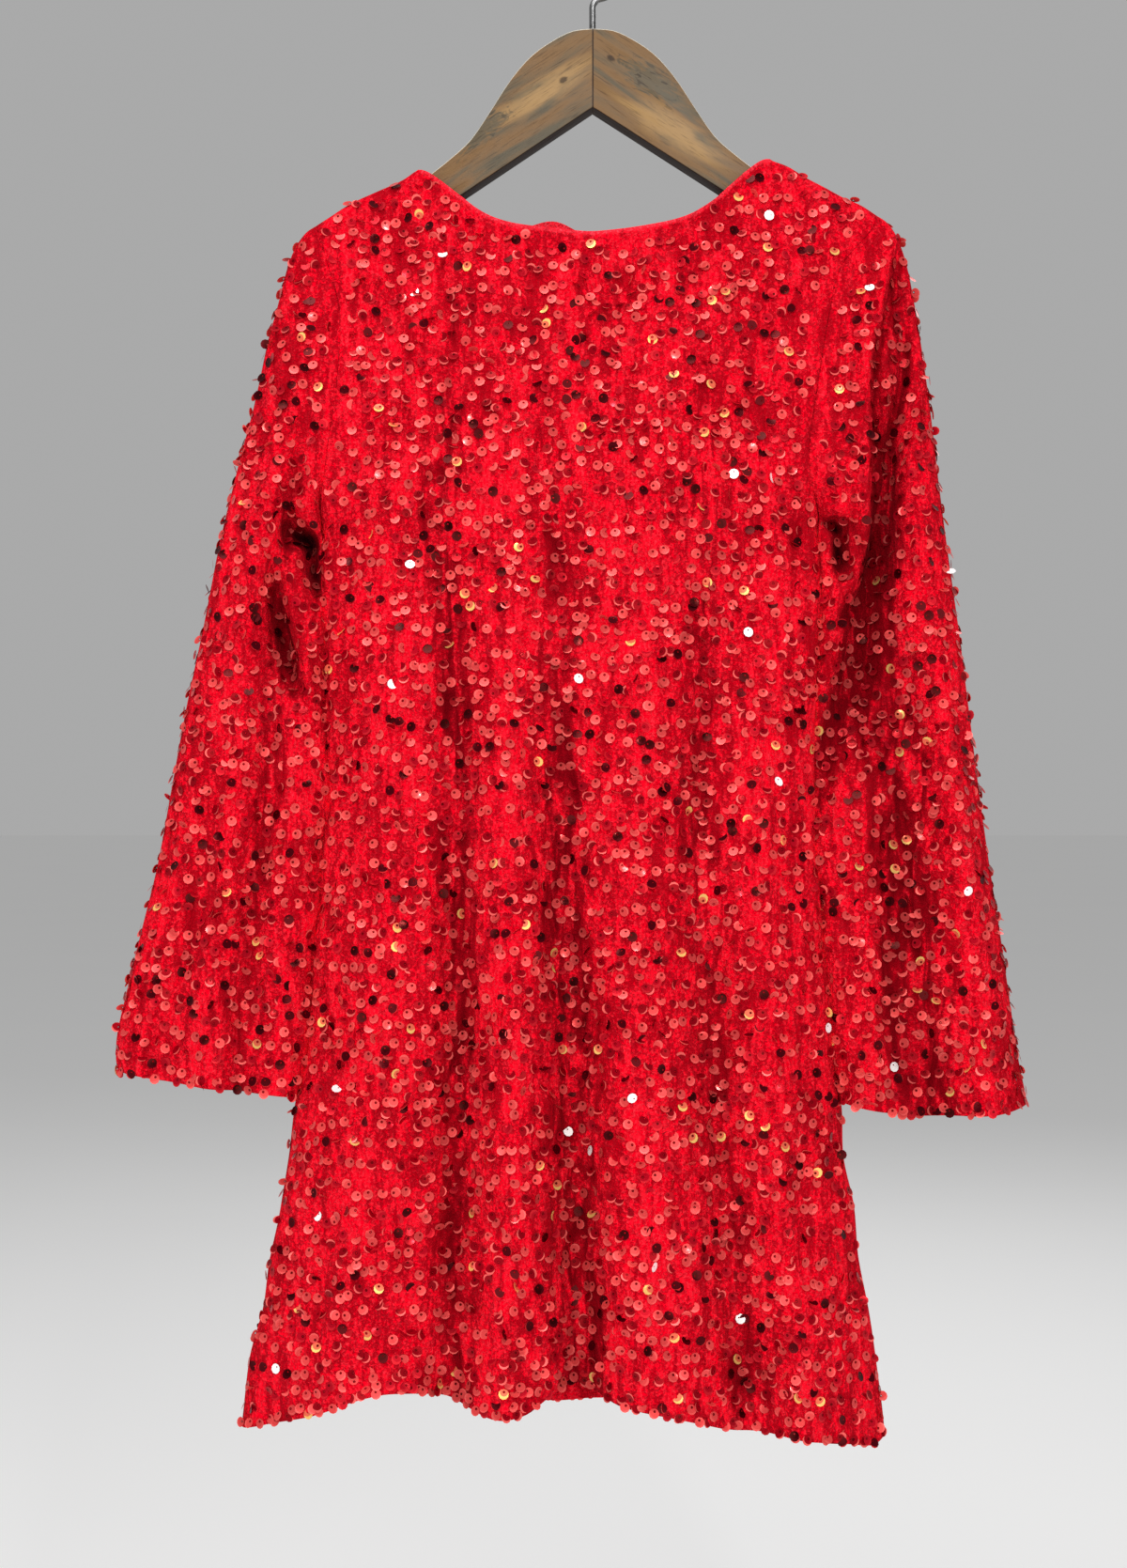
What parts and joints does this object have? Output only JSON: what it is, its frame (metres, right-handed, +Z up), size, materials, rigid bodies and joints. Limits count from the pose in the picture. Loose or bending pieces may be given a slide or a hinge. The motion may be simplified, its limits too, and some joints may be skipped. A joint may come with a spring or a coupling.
{
  "type": "sequin dress on a hanger",
  "caption": "Child's red velvet dress covered in round sequins, with flared long sleeves and a wide scooped neck, hanging flat on a wooden hanger.",
  "frame": {"origin": "where a rail touches the inside of the hook, at the top of its loop", "axes": "+Z up, +X to the right of someone who faces the front of the dress, -Y towards them"},
  "size_m": [0.4658, 0.0759, 0.7702],
  "materials": {
    "sequin_velvet": "crushed stretch velvet with sewn-on round metallic sequins",
    "stained_wood": "dark stained, worn satin lacquer",
    "hook_wire": "plain bright steel wire"
  },
  "bodies": {
    "root": {"front": "sequin_velvet", "back": "sequin_velvet", "sleeve_left": "sequin_velvet", "sleeve_right": "sequin_velvet", "hanger_left": "stained_wood", "hanger_right": "stained_wood", "hook": "hook_wire"}
  },
  "joints": []
}
